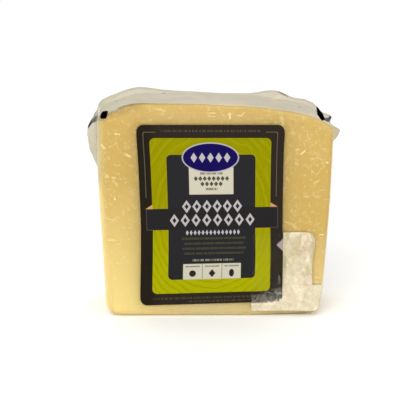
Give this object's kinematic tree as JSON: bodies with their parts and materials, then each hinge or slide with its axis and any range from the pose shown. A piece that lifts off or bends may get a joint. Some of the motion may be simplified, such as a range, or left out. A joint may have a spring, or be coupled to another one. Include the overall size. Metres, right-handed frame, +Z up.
{
  "type": "packed hard cheese portion",
  "caption": "Upright portion of hard yellow cheese shrunk into a clear bag with corner ears, a framed printed label on its front and a crumpled clear sticker over the label's corner.",
  "frame": {"origin": "on the surface it stands on, under the middle of the whole part's box", "axes": "+Z up, +X to the right of the printed label as seen from in front, -Y out of the label"},
  "size_m": [0.115, 0.0318, 0.0986],
  "materials": {
    "cheese": "pale yellow hard cheese, faintly mottled, moist and waxy",
    "clear_film": "clear glossy shrink film, whitish where it stands off the cheese",
    "label_print": "satin printed label in black brown, lime and cream",
    "sticker_film": "clear film sticker, crumpled to a milky white"
  },
  "bodies": {
    "root": {"sealed_pack": "clear_film", "front_label": "label_print", "clear_sticker": "sticker_film"}
  },
  "joints": []
}
